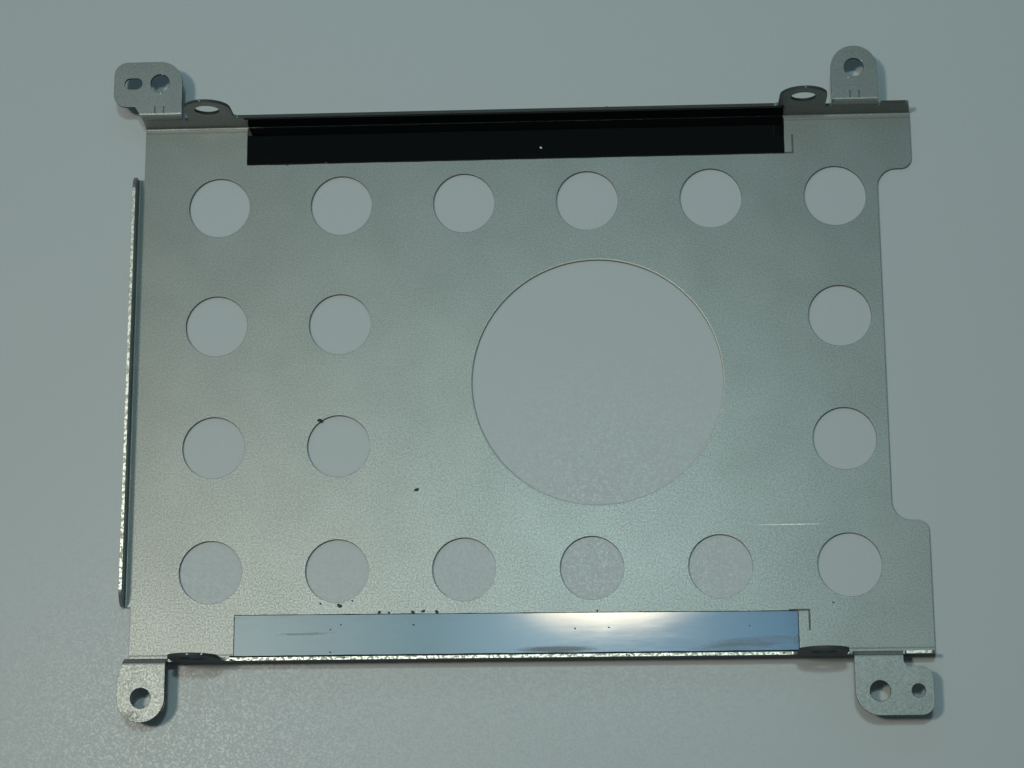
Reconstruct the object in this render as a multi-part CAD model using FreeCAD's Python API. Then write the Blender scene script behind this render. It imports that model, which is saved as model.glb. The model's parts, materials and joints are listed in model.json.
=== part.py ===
import FreeCAD, Part
import math
import os

# Folded sheet-steel tray for a 2.5-inch drive, with two insulating film strips.
# All sizes are in millimetres. X runs along the drive towards its connector end, Z is up,
# and the origin is on the underside, at the middle of the part's outline.

# Steel sheet and its folds
sheet = 0.4                     # thickness of the steel
fold_radius = 0.2               # inside radius where walls and stop rise from the base
tab_fold_radius = 0.4           # inside radius where the tabs turn out from the walls

# Drive that the tray carries, laid in with its lid down
drive_width = 69.85             # width over the drive's sides
drive_side_gap = 0.175          # room between drive and wall on each side
drive_screw_pitch = 76.6        # between the two screws along one side of the drive
drive_screw_height = 6.6        # screw axis above the base's upper face

# Ends of the base, measured from the drive screws
connector_setback = 14.15       # from the front screw to the connector end of the base
rear_setback = 9.25             # from the rear screw to the rear end of the base

# Recess in the connector end, which clears the plug
recess_depth = 4.5
recess_far_shoulder = 7.6       # from the far wall to the recess
recess_near_shoulder = 16.6     # from the near wall to the recess
recess_inner_radius = 2.45
recess_outer_radius = 1.4

# Stop flange behind the rear end
stop_standoff = 0.77            # from the rear end of the base to the foot of the flange's inner face
stop_lean = 0.25                # how far the flange leans in at the top
stop_far_gap = 7.1              # from the far wall to the flange
stop_near_gap = 6.8             # from the near wall to the flange
stop_height = 3.4               # top of the flange above the underside
stop_corner_radius = 2.2

# Side walls
wall_height = 3.9               # top of the walls above the underside
wall_rear_lean = 0.25           # how far the rear end leans in at the top
wall_front_lean = 0.5           # how far the connector end leans in at the top
wall_corner_radius = 0.5

# Ears that take the drive screws
ear_width = 6.0
ear_hole_diameter = 3.2
ear_foot_radius = 0.6           # fillet between an ear and the wall's top

# Tabs that screw down to the chassis
tab_width = 5.9
tab_height = 4.3                # upper face of the tabs above the underside
tab_screw_reach = 4.9           # from the wall's inner face to the screw axis
tab_hole_diameter = 2.5
tab_gap = 0.85                  # relief slot between ear and tab
tab_notch = 0.4                 # relief notch on a front tab's outer side
relief_depth = 0.2              # how far slot and notch run below the tab's fold
relief_radius = 0.2             # rounding at the bottom of slot and notch
tab_root_taper = 0.75           # how much narrower a rear tab is at its root

# Widened far rear tab, with a locating slot
slot_offset = 3.5               # from the screw axis to the slot's middle
slot_length = 2.35
slot_width = 1.55
slot_margin = 2.55              # from the slot's middle to the tab's end
slot_heel = 3.2                 # from the screw axis to the widened part's inner corner, both ways
slot_tip_radius = 1.75
slot_notch_radius = 0.3

# Widened near front tab, with a locating hole
pin_offset = 4.6                # from the screw axis to the locating hole
pin_hole_diameter = 1.65
pin_margin = 1.85               # from the locating hole to the tab's end
pin_tip_radius = 1.5
pin_notch_radius = 0.8

# Pair of lines scored across each far tab, up to its fold
score_spacing = 1.15
score_length = 0.95
score_line = 0.14
score_depth = 0.06

# Lightening holes in the base
hole_diameter = 8.0
hole_columns = 6
hole_rows = 4
hole_rear_web = 6.0             # from the stop's end of the base to the first rim
hole_front_web = 1.5            # from the last rim to the recess
hole_side_web = 7.1             # from the outer rows' rims to the walls
disc_diameter = 32.0            # large hole under the drive's disc
disc_offset = 9.0               # from the middle of the base towards the connector end
disc_web = 3.0                  # least metal left between the large hole and a small one
disc_rim_roll = 0.15            # rounding that the punch leaves on the large hole's upper rim

# Stamped corner marks that show where a film ends
mark_leg = 2.6
mark_line = 0.2
mark_depth = 0.08
mark_setback = 0.95             # from the front drive screw back to the mark
far_mark_reach = 5.25           # from the wall's inner face to the mark
near_mark_reach = 5.6

# Insulating film stuck along the foot of each wall
film_thickness = 0.1
film_length = 70.1
film_wall_leg = 3.3             # top of the film above the base's upper face
far_film_offset = 1.05          # middle of the strip from the middle of the ears
far_film_rear_reach = 5.25      # from the wall's inner face to the strip's edge
far_film_front_reach = 5.15
near_film_offset = 0.75
near_film_rear_reach = 5.6      # the near strip lies a little askew
near_film_front_reach = 5.35

# Places worked out from the sizes above
overrun = 5 * sheet             # how far cutting shapes pass the metal
inner_wall = drive_width / 2 + drive_side_gap
outer_wall = inner_wall + sheet
base_length = rear_setback + drive_screw_pitch + connector_setback
tab_offset = ear_width / 2 + tab_gap + tab_width / 2
slot_tab_end = slot_offset + slot_margin
tab_overhang = slot_tab_end + tab_offset - rear_setback
front_end = (base_length + tab_overhang) / 2
rear_end = front_end - base_length
rear_ear = rear_end + rear_setback
front_ear = front_end - connector_setback
ear_middle = (rear_ear + front_ear) / 2
rear_tab = rear_ear - tab_offset
front_tab = front_ear + tab_offset
tab_row = inner_wall + tab_screw_reach
tab_fold_start = tab_height - sheet - tab_fold_radius
relief_floor = tab_fold_start - relief_depth
base_fold_end = sheet + fold_radius
stop_face = rear_end - stop_standoff
stop_far_end = inner_wall - stop_far_gap
stop_near_end = stop_near_gap - inner_wall
ear_screw_level = sheet + drive_screw_height
FAR, NEAR = 1, -1


def corner_run(before, corner, after, radius):
    """Length that an arc of one radius takes up along each side of a corner."""
    half_angle = (before - corner).getAngle(after - corner) / 2
    return radius / math.tan(half_angle)


def corner_arc(before, corner, after, run):
    """Start, middle and end of the arc that takes up a run of both sides, or the corner where it is sharp."""
    if run <= Part.Precision.confusion():
        return [corner]
    back = (before - corner).normalize()
    ahead = (after - corner).normalize()
    half_angle = back.getAngle(ahead) / 2
    radius = run * math.tan(half_angle)
    depth = radius / math.sin(half_angle) - radius
    bisector = (back + ahead).normalize()
    return [corner + back * run, corner + bisector * depth, corner + ahead * run]


def outline_face(corners):
    """Flat face inside (point, radius) corners. An arc is limited to what its two sides have room for."""
    points = [point for point, radius in corners]
    count = len(points)
    sides = [(index - 1, index, (index + 1) % count) for index in range(count)]
    runs = [corner_run(points[a], points[b], points[c], corners[b][1]) for a, b, c in sides]
    room = [1.0] * count
    for here, point in enumerate(points):
        following = (here + 1) % count
        length = point.distanceToPoint(points[following])
        share = length / max(runs[here] + runs[following], length)
        room[here] = min(room[here], share)
        room[following] = min(room[following], share)
    turns = [corner_arc(points[a], points[b], points[c], runs[b] * room[b]) for a, b, c in sides]
    edges = []
    for index, turn in enumerate(turns):
        if len(turn) > 1:
            edges.append(Part.Arc(*turn).toShape())
        start = turn[-1]
        end = turns[(index + 1) % count][0]
        if not start.isEqual(end, Part.Precision.confusion()):
            edges.append(Part.LineSegment(start, end).toShape())
    return Part.Face(Part.Wire(edges))


def plan_prism(corners, low, high):
    """Upright prism over (x, y, radius) corners, from one height to another."""
    face = outline_face([(FreeCAD.Vector(x, y, low), radius) for x, y, radius in corners])
    return face.extrude(FreeCAD.Vector(0, 0, high - low))


def side_prism(corners, low, high):
    """Prism across the tray over (x, z, radius) corners, from one y to another."""
    face = outline_face([(FreeCAD.Vector(x, low, z), radius) for x, z, radius in corners])
    return face.extrude(FreeCAD.Vector(0, high - low, 0))


def end_prism(corners, low, high):
    """Prism along the tray over (y, z, radius) corners, from one x to another."""
    face = outline_face([(FreeCAD.Vector(low, y, z), radius) for y, z, radius in corners])
    return face.extrude(FreeCAD.Vector(high - low, 0, 0))


def bore(centre, direction, diameter, length):
    """Round cutter of one length, centred on a point."""
    start = centre - direction * (length / 2)
    return Part.makeCylinder(diameter / 2, length, start, direction)


def rolled_bore(centre, diameter, roll):
    """Round cutter through the base that leaves the upper rim rounded."""
    radius = diameter / 2
    profile = [
        (0, -overrun, 0),
        (radius, -overrun, 0),
        (radius, sheet, roll),
        (radius + roll, sheet, 0),
        (radius + roll, overrun, 0),
        (0, overrun, 0),
    ]
    face = outline_face([(centre + FreeCAD.Vector(x, 0, z), arc) for x, z, arc in profile])
    return face.revolve(centre, FreeCAD.Vector(0, 0, 1), 360)


def wall_outline():
    """Side view of a wall: tab roots, relief slots, round ears and the leaning ends."""
    ear_top = ear_screw_level + ear_width / 2
    ear_half = ear_width / 2
    tab_half = tab_width / 2
    return [
        (rear_end, 0, 0),
        (rear_end, base_fold_end, 0),
        (rear_end + wall_rear_lean, tab_fold_start, 0),
        (rear_tab + tab_half, tab_fold_start, 0),
        (rear_tab + tab_half, relief_floor, relief_radius),
        (rear_ear - ear_half, relief_floor, relief_radius),
        (rear_ear - ear_half, ear_top, ear_half),
        (rear_ear + ear_half, ear_top, ear_half),
        (rear_ear + ear_half, wall_height, ear_foot_radius),
        (front_ear - ear_half, wall_height, ear_foot_radius),
        (front_ear - ear_half, ear_top, ear_half),
        (front_ear + ear_half, ear_top, ear_half),
        (front_ear + ear_half, relief_floor, relief_radius),
        (front_tab - tab_half, relief_floor, relief_radius),
        (front_tab - tab_half, tab_fold_start, 0),
        (front_tab + tab_half, tab_fold_start, 0),
        (front_tab + tab_half, relief_floor, relief_radius),
        (front_tab + tab_half + tab_notch, relief_floor, relief_radius),
        (front_tab + tab_half + tab_notch, wall_height, 0),
        (front_end - wall_front_lean, wall_height, wall_corner_radius),
        (front_end, base_fold_end, 0),
        (front_end, 0, 0),
    ]


def base_outline():
    """Plan of the base and walls, with the recess at the front."""
    side = outer_wall + overrun
    recess = front_end - recess_depth
    recess_near = recess_near_shoulder - inner_wall
    recess_far = inner_wall - recess_far_shoulder
    return [
        (rear_end, -side, 0),
        (front_end, -side, 0),
        (front_end, recess_near, recess_outer_radius),
        (recess, recess_near, recess_inner_radius),
        (recess, recess_far, recess_inner_radius),
        (front_end, recess_far, recess_outer_radius),
        (front_end, side, 0),
        (rear_end, side, 0),
    ]


def channel():
    """Base and both walls, folded from one strip and trimmed from the side and from above."""
    top = ear_screw_level + ear_width
    outer_radius = fold_radius + sheet
    section = [
        (-outer_wall, 0, outer_radius),
        (outer_wall, 0, outer_radius),
        (outer_wall, top, 0),
        (inner_wall, top, 0),
        (inner_wall, sheet, fold_radius),
        (-inner_wall, sheet, fold_radius),
        (-inner_wall, top, 0),
        (-outer_wall, top, 0),
    ]
    strip = end_prism(section, rear_end - overrun, front_end + overrun)
    side_view = side_prism(wall_outline(), -outer_wall - overrun, outer_wall + overrun)
    plan_view = plan_prism(base_outline(), -overrun, top + overrun)
    return strip.common(side_view).common(plan_view)


def stop_flange():
    """Flange that rises behind the rear edge of the base, with rounded upper corners."""
    back = stop_face - sheet
    section = [
        (back, 0, fold_radius + sheet),
        (rear_end, 0, 0),
        (rear_end, sheet, 0),
        (stop_face, sheet, fold_radius),
        (stop_face + stop_lean, stop_height, 0),
        (back + stop_lean, stop_height, 0),
    ]
    view = [
        (stop_near_end, 0, 0),
        (stop_far_end, 0, 0),
        (stop_far_end, stop_height, stop_corner_radius),
        (stop_near_end, stop_height, stop_corner_radius),
    ]
    strip = side_prism(section, stop_near_end - overrun, stop_far_end + overrun)
    return strip.common(end_prism(view, back - overrun, rear_end))


def plain_tab():
    """Far front tab: straight sides and a round end about its screw hole."""
    half = tab_width / 2
    tip = tab_row + half
    return [
        (front_tab + half, inner_wall, 0),
        (front_tab + half, tip, half),
        (front_tab - half, tip, half),
        (front_tab - half, inner_wall, 0),
    ]


def tapered_tab():
    """Near rear tab: a round end, and an outer side that draws in to the wall's end."""
    half = tab_width / 2
    tip = tab_row + half
    waist = (outer_wall + tab_row) / 2
    return [
        (rear_tab + half, inner_wall, 0),
        (rear_tab + half, tip, half),
        (rear_tab - half, tip, half),
        (rear_tab - half, waist, 0),
        (rear_tab - half + tab_root_taper, inner_wall, 0),
    ]


def slotted_tab():
    """Far rear tab: widened past the wall's end to take the locating slot."""
    half = tab_width / 2
    tip = tab_row + half
    heel = tab_row - slot_heel
    end = rear_tab - slot_tab_end
    return [
        (rear_tab + half, inner_wall, 0),
        (rear_tab + half, tip, half),
        (end, tip, slot_tip_radius),
        (end, heel, slot_tip_radius),
        (rear_tab - slot_heel, heel, slot_notch_radius),
        (rear_tab - half + tab_root_taper, inner_wall, 0),
    ]


def pinned_tab():
    """Near front tab: widened along the wall to take the locating hole."""
    half = tab_width / 2
    tip = tab_row + half
    heel = tab_row - half
    end = front_tab + pin_offset + pin_margin
    return [
        (front_tab - half, inner_wall, 0),
        (front_tab - half, tip, half),
        (end, tip, pin_tip_radius),
        (end, heel, pin_tip_radius),
        (front_tab + half, heel, pin_notch_radius),
        (front_tab + half, inner_wall, 0),
    ]


def folded_tab(outline, side):
    """Tab turned out from the wall's top, trimmed to its plan outline on the far or near side."""
    reach = tab_row + tab_width
    underside = tab_height - sheet
    section = [
        (side * inner_wall, tab_fold_start, 0),
        (side * inner_wall, tab_height, tab_fold_radius + sheet),
        (side * reach, tab_height, 0),
        (side * reach, underside, 0),
        (side * outer_wall, underside, tab_fold_radius),
        (side * outer_wall, tab_fold_start, 0),
    ]
    ends = [x for x, y, radius in outline]
    strip = end_prism(section, min(ends) - overrun, max(ends) + overrun)
    placed = [(x, side * y, radius) for x, y, radius in outline]
    return strip.common(plan_prism(placed, tab_fold_start - overrun, tab_height + overrun))


def base_holes():
    """Cutters for the large disc hole and the grid of small ones that stays clear of it."""
    radius = hole_diameter / 2
    first_column = rear_end + hole_rear_web + radius
    last_column = front_end - recess_depth - hole_front_web - radius
    outer_row = inner_wall - hole_side_web - radius
    column_pitch = (last_column - first_column) / (hole_columns - 1)
    row_pitch = 2 * outer_row / (hole_rows - 1)
    up = FreeCAD.Vector(0, 0, 1)
    disc = FreeCAD.Vector(rear_end + base_length / 2 + disc_offset, 0, 0)
    clear = (disc_diameter + hole_diameter) / 2 + disc_web
    cutters = [rolled_bore(disc, disc_diameter, disc_rim_roll)]
    for column in range(hole_columns):
        for row in range(hole_rows):
            centre = FreeCAD.Vector(first_column + column * column_pitch, row * row_pitch - outer_row, 0)
            if centre.distanceToPoint(disc) >= clear:
                cutters.append(bore(centre, up, hole_diameter, overrun))
    return cutters


def screw_holes():
    """Cutters for the drive screws in the ears and the chassis screws in the tabs."""
    across = FreeCAD.Vector(0, 1, 0)
    up = FreeCAD.Vector(0, 0, 1)
    cutters = []
    for side in (FAR, NEAR):
        for x in (rear_ear, front_ear):
            ear = FreeCAD.Vector(x, side * inner_wall, ear_screw_level)
            cutters.append(bore(ear, across, ear_hole_diameter, overrun))
        for x in (rear_tab, front_tab):
            tab = FreeCAD.Vector(x, side * tab_row, tab_height)
            cutters.append(bore(tab, up, tab_hole_diameter, overrun))
    return cutters


def locating_holes():
    """Cutters for the slot in the far rear tab and the round hole in the near front tab."""
    middle = rear_tab - slot_offset
    half_length = slot_length / 2
    half_width = slot_width / 2
    slot = [
        (middle - half_length, tab_row - half_width, half_width),
        (middle + half_length, tab_row - half_width, half_width),
        (middle + half_length, tab_row + half_width, half_width),
        (middle - half_length, tab_row + half_width, half_width),
    ]
    pin = FreeCAD.Vector(front_tab + pin_offset, NEAR * tab_row, tab_height)
    return [
        plan_prism(slot, tab_height - overrun, tab_height + overrun),
        bore(pin, FreeCAD.Vector(0, 0, 1), pin_hole_diameter, overrun),
    ]


def scored_lines():
    """Cutters for the two short lines scored on each far tab, from its fold outwards."""
    start = inner_wall + sheet + tab_fold_radius
    end = start + score_length
    half = score_line / 2
    cutters = []
    for tab in (rear_tab, front_tab):
        for x in (tab - score_spacing / 2, tab + score_spacing / 2):
            line = [
                (x - half, start, 0),
                (x + half, start, 0),
                (x + half, end, 0),
                (x - half, end, 0),
            ]
            cutters.append(plan_prism(line, tab_height - score_depth, tab_height + overrun))
    return cutters


def corner_marks():
    """Cutters for the stamped L-shaped marks beside the front end of each film."""
    x = front_ear - mark_setback
    cutters = []
    for side, reach in ((FAR, far_mark_reach), (NEAR, near_mark_reach)):
        y = side * (inner_wall - reach)
        inner_y = y + side * mark_line
        leg_y = y + side * mark_leg
        mark = [
            (x, y, 0),
            (x, leg_y, 0),
            (x - mark_line, leg_y, 0),
            (x - mark_line, inner_y, 0),
            (x - mark_leg, inner_y, 0),
            (x - mark_leg, y, 0),
        ]
        cutters.append(plan_prism(mark, sheet - mark_depth, sheet + overrun))
    return cutters


def caddy_tray():
    """The whole folded tray: channel, stop flange and four tabs, then every hole and mark."""
    tabs = [
        folded_tab(slotted_tab(), FAR),
        folded_tab(plain_tab(), FAR),
        folded_tab(tapered_tab(), NEAR),
        folded_tab(pinned_tab(), NEAR),
    ]
    blank = channel().fuse([stop_flange()] + tabs).removeSplitter()
    cutters = base_holes() + screw_holes() + locating_holes() + scored_lines() + corner_marks()
    return blank.cut(cutters)


def film_strip(side, offset, rear_reach, front_reach):
    """Film folded into the foot of a wall: one leg on the base, the other up the wall's inner face."""
    rear = ear_middle + offset - film_length / 2
    front = rear + film_length
    top = sheet + film_wall_leg
    face = inner_wall - film_thickness
    longest = max(rear_reach, front_reach)
    section = [
        (side * inner_wall, sheet, fold_radius),
        (side * inner_wall, top, 0),
        (side * face, top, 0),
        (side * face, sheet + film_thickness, fold_radius - film_thickness),
        (side * (inner_wall - longest), sheet + film_thickness, 0),
        (side * (inner_wall - longest), sheet, 0),
    ]
    cut = [
        (rear, side * (inner_wall - rear_reach), 0),
        (front, side * (inner_wall - front_reach), 0),
        (front, side * outer_wall, 0),
        (rear, side * outer_wall, 0),
    ]
    return end_prism(section, rear, front).common(plan_prism(cut, 0, top + overrun))


def main():
    """Build each piece and write it under its own name."""
    pieces = {
        "caddy_tray": caddy_tray(),
        "far_side_film": film_strip(FAR, far_film_offset, far_film_rear_reach, far_film_front_reach),
        "near_side_film": film_strip(NEAR, near_film_offset, near_film_rear_reach, near_film_front_reach),
    }
    os.makedirs("parts", exist_ok=True)
    for name, shape in pieces.items():
        shape.exportStep("parts/" + name + ".step")
        box = shape.BoundBox
        print(name, len(shape.Solids), shape.isValid(), round(shape.Volume, 3), box)


main()
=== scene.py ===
import json
import math

import bpy
import numpy as np
from bpy.props import FloatProperty, FloatVectorProperty, IntProperty, PointerProperty
from mathutils import Matrix, Vector


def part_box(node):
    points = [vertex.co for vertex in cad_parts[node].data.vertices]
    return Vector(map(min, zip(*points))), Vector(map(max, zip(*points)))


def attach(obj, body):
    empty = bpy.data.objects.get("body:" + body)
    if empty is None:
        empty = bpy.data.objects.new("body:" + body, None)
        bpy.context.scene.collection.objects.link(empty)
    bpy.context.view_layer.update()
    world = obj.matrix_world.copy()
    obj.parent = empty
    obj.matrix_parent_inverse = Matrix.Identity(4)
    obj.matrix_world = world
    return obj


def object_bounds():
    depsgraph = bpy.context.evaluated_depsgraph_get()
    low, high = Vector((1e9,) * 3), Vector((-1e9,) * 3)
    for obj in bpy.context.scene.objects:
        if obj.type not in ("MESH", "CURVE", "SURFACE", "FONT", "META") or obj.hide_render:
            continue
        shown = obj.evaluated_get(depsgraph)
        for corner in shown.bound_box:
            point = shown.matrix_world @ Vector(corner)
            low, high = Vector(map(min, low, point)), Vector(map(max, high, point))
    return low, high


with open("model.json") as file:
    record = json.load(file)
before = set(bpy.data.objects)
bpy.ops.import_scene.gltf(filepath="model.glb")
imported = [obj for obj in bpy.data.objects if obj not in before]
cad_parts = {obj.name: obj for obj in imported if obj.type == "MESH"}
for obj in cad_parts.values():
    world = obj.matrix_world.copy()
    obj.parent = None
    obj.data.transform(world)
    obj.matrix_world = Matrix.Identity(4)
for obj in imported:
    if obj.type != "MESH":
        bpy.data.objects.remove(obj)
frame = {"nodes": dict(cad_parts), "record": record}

bl_info = {
    "name": "Hard Drive Caddy",
    "version": (1, 0, 0),
    "blender": (4, 5, 0),
    "location": "View3D > Sidebar > Caddy",
    "description": "Finishes a folded steel drive tray, its insulating films, its dirt and its studio",
    "category": "Object",
}

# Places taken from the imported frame, the thickness of the film and the height of the walls
MM = 0.001
CAD_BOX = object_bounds()
FILMS = {name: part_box(name) for name in ("far_side_film", "near_side_film")}
MOUNTS = {mount["name"]: mount for mount in frame["record"]["mounts"]}
SCREW_HOLES = MOUNTS["chassis_screws"]
FILM_THICK = 0.1 * MM
WALL_TOP = 3.9 * MM
BASE_TOP = FILMS["near_side_film"][0].z
FILM_TOP = BASE_TOP + FILM_THICK
TAB_TOP = SCREW_HOLES["pos_m"][2] + BASE_TOP / 2
BODY = "root"


def linear(code):
    """Linear RGBA of an sRGB hex colour: a straight toe below 0.04045, and a 2.4 power above it."""
    channels = np.array([int(code[i:i + 2], 16) for i in (1, 3, 5)]) / 255
    toe = channels / 12.92
    power = ((channels + 0.055) / 1.055) ** 2.4
    return (*np.where(channels <= 0.04045, toe, power).tolist(), 1.0)


def colour_property(name, description, code):
    """Colour setting whose default is an sRGB hex value."""
    return FloatVectorProperty(name=name, description=description, subtype="COLOR", size=4,
                               min=0.0, max=1.0, default=linear(code))


def length_property(name, description, millimetres):
    """Length setting whose default is given in millimetres."""
    return FloatProperty(name=name, description=description, subtype="DISTANCE", unit="LENGTH",
                         min=0.0, precision=5, default=millimetres * MM)


def share_property(name, description, value):
    """Setting that runs from nothing to the whole."""
    return FloatProperty(name=name, description=description, subtype="FACTOR",
                         min=0.0, max=1.0, default=value)


def power_property(name, description, watts):
    """Lamp power setting in watts."""
    return FloatProperty(name=name, description=description, unit="POWER",
                         min=0.0, precision=4, default=watts)


class SteelLook(bpy.types.PropertyGroup):
    """Looks of the zinc-coated sheet."""

    colour: colour_property("Zinc", "Colour of the passivated zinc coat", "#949896")
    worn: colour_property("Worn zinc", "Colour of the duller grains in the coat", "#7E8380")
    # The pale edge colour is painted highlight on the wall tops and the rolled rim, and with the nick colour
    # a painted glint on the nicks; only on the scratch is it bare steel.
    edge: colour_property("Rubbed edge", "Colour of the bare steel where edges are rubbed", "#DAD8CE")
    # The nick colour is a painted glint on the nicks and torn burrs.
    nick_glint: colour_property("Nicks", "Colour of fresh nicks and torn burrs", "#EDEDE6")
    # The dark mark colour is painted shade on the wall tops away from the highlight, the ears' rims, the
    # holes' walls, the tabs' edges, the near wall's outer face and the floors of the lines and creases; on
    # the worn tip of a tab it is wear.
    mark: colour_property("Stamped mark", "Colour of grime in lines and on sheared faces", "#404545")
    metallic: share_property("Metallic", "How much of the light the dull coat mirrors", 0.5)
    roughness: share_property("Roughness", "Roughness of the matt-rolled surface", 0.43)
    lacquer: share_property("Passivation", "How much of the glossy layer is left on the zinc", 0.16)
    grain: length_property("Grain", "Width of the coat's bright grains", 0.2)
    cloud: length_property("Clouds", "Width of the coat's dull clouds", 9.0)
    edge_round: length_property("Edge round", "Radius that shearing leaves on the edges", 0.08)
    burr: length_property("Burr", "Half width of the burr round a punched hole", 0.03)


class FilmLook(bpy.types.PropertyGroup):
    """Looks of the insulating film."""

    colour: colour_property("Film", "Colour of the black film", "#07090A")
    smudge: colour_property("Smudge", "Colour of the greasy dust in the smudges", "#7E8284")
    roughness: share_property("Roughness", "Roughness of the clean film", 0.05)
    ripple: length_property("Ripple", "Length of the ripples along the film", 7.0)


class DirtLook(bpy.types.PropertyGroup):
    """Looks of the dirt, of the adhesive that shows at the films' edges, and of the painted shade along their
    top edges.
    """

    speck: colour_property("Speck", "Colour of the dark specks", "#42423D")
    rust: colour_property("Rust", "Colour of the brown speck on a hole's rim", "#3C3026")
    # The adhesive colour also paints the shade in each film's fold, as the bead along the film's top edge.
    adhesive: colour_property("Adhesive", "Colour of the dirty adhesive", "#0B0D0E")
    bead: length_property("Bead", "Width of the adhesive bead along a film's edges", 0.22)
    crumbs: IntProperty(name="Crumbs", description="Number of crumbs along each edge", min=0, default=46)
    seed: IntProperty(name="Seed", description="Start of the random draws", min=0, default=7)


class StageLook(bpy.types.PropertyGroup):
    """Looks of the floor, the lamps and the camera."""

    floor: colour_property("Floor", "Colour of the card", "#C6CBCE")
    world: colour_property("Surroundings", "Colour of the light from all round", "#D0F2F6")
    world_strength: share_property("Ceiling level", "Level of the light from overhead", 0.066)
    horizon_strength: share_property("Horizon level", "Level of the light from the sides", 0.05)
    backdrop: colour_property("Backdrop", "Colour that the camera sees behind the floor", "#8F9D9E")
    key: colour_property("Key lamp", "Colour of the warm lamp", "#FFF9E6")
    key_power: power_property("Key power", "Power of the warm lamp", 0.565)
    fill: colour_property("Fill lamp", "Colour of the cool lamp", "#C2F9FF")
    fill_power: power_property("Fill power", "Power of the cool lamp", 0.285)
    window: colour_property("Window lamp", "Colour of the broad lamp at the far side", "#9AE0FF")
    window_power: power_property("Window power", "Power of the broad lamp at the far side", 0.045)
    strip_power: power_property("Strip power", "Power of the long strip that the films mirror", 0.18)
    bulb: colour_property("Bulb", "Colour of the soft bulb beside the strip", "#FFE2B6")
    bulb_power: power_property("Bulb power", "Power of the soft bulb, had it no falloff", 0.25)
    lens: FloatProperty(name="Lens", description="Focal length of the camera", unit="CAMERA", default=78.43)


def add_node(tree, kind, settings=None, inputs=None):
    """Add one node, set its properties, and give each named input a constant or a link."""
    made = tree.nodes.new(kind)
    for name, value in (settings or {}).items():
        setattr(made, name, value)
    for name, value in (inputs or {}).items():
        if isinstance(value, bpy.types.NodeSocket):
            tree.links.new(value, made.inputs[name])
        else:
            made.inputs[name].default_value = value
    return made


def new_material(name):
    """Empty material with its node tree and one surface shader joined to the output."""
    material = bpy.data.materials.new(name)
    material.use_nodes = True
    tree = material.node_tree
    tree.nodes.clear()
    shader = add_node(tree, "ShaderNodeBsdfPrincipled")
    add_node(tree, "ShaderNodeOutputMaterial", inputs={"Surface": shader.outputs["BSDF"]})
    return material, tree, shader


# Widths and depths of the fine patterns, in millimetres
MOTTLE_WIDTH, TEAR_WIDTH, WIPE_WIDTH, DUST_WIDTH, TOOTH_WIDTH = 0.35, 0.08, 0.4, 0.12, 0.25
RELIEF_DEPTH, RIPPLE_DEPTH = 0.02, 0.05

# Where the painted shade and the painted highlights on the steel lie, each from and to, in millimetres
STAMP_FLOORS, SCORE_FLOORS = (0.29, 0.35), (4.21, 4.27)
BASE_HEIGHTS, CREASES_ASIDE = (-1.0, 0.5), (34.3, 34.5)
WALL_TOP_HEIGHTS, HIGHLIT_Y = (3.15, 4.05), (-50.0, 30.0)
RIM_HIGHLIGHT_HEIGHTS, BORE_HEIGHTS = (0.245, 0.405), (-1.0, 0.39)
EAR_HEIGHTS, TAB_EDGE_HEIGHTS, TABS_ASIDE = (4.6, 12.0), (3.91, 4.29), (36.5, 50.0)
NEAR_OUTER_FACE = (-35.53, -35.47)

# How far a face points along an axis, each from and to, where one is straight along it
LEVEL, FLAT, SLOPING, STEEP, ENDWISE = (0.9, 1.1), (0.985, 1.1), (0.21, 0.99), (-0.2, 0.2), (-0.5, 0.5)

# How much painted shade darkens the floors of the lines, the creases and the walls of the holes
LINE_SHADE, CREASE_SHADE, BORE_SHADE = 0.6, 0.3, 0.5

# How far the grains swing the steel's roughness, how much rougher wiped film is, and how dust pales a colour
GRAIN_SWING, WIPED_ROUGHER, DUST_GAIN, DUST_LIFT = 0.06, 0.03, 2.2, 0.01

# A scratch and the worn tip of the near rear tab: middle and half sizes in millimetres, and turn in radians
SCRATCH_MIDDLE, SCRATCH_HALF = (34.7, -18.87, 0.4), (4.6, 0.08, 0.2)
WORN_MIDDLE, WORN_HALF, WORN_TURN = (-46.4, -42.4, 4.3), (1.9, 0.75, 0.4), -0.5

# Smudges on the films: middle and half sizes in millimetres, turn in radians, and share of the gloss taken
SMUDGES = (
    ((5.4, -34.15), (6.2, 0.6), 0.0, 1.0),
    ((28.6, -33.7), (9.5, 1.2), 0.09, 0.62),
    ((35.6, -33.3), (1.8, 1.2), 0.0, 0.6),
    ((-26.2, -31.9), (5.0, 0.22), 0.0, 0.7),
)
SMUDGE_DEPTH, SMUDGE_RIM = 0.3, (1.2, 0.2)

# Distances from the part's middle at which the card starts and ends its change to the backdrop, in metres
CARD_LIT, CARD_FADED = 0.10, 0.28


def patch(tree, place, middle, half, turn=0.0, rim=(1.15, 0.55)):
    """Mask of an elliptical patch on a level surface: one inside it, nothing outside it, and a soft rim."""
    offset = add_node(tree, "ShaderNodeMapping", {"vector_type": "TEXTURE"}, {
        "Vector": place, "Location": [value * MM for value in middle], "Rotation": (0, 0, turn),
        "Scale": [value * MM for value in half]}).outputs["Vector"]
    reach = add_node(tree, "ShaderNodeVectorMath", {"operation": "LENGTH"}, {0: offset}).outputs["Value"]
    return add_node(tree, "ShaderNodeMapRange", {"interpolation_type": "SMOOTHSTEP"}, {
        "Value": reach, "From Min": rim[0], "From Max": rim[1]}).outputs["Result"]


def between(tree, value, levels):
    """Mask that is one where a value lies between two levels."""
    low, high = levels
    return add_node(tree, "ShaderNodeMath", {"operation": "COMPARE"}, {
        0: value, 1: (low + high) / 2, 2: (high - low) / 2}).outputs["Value"]


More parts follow.
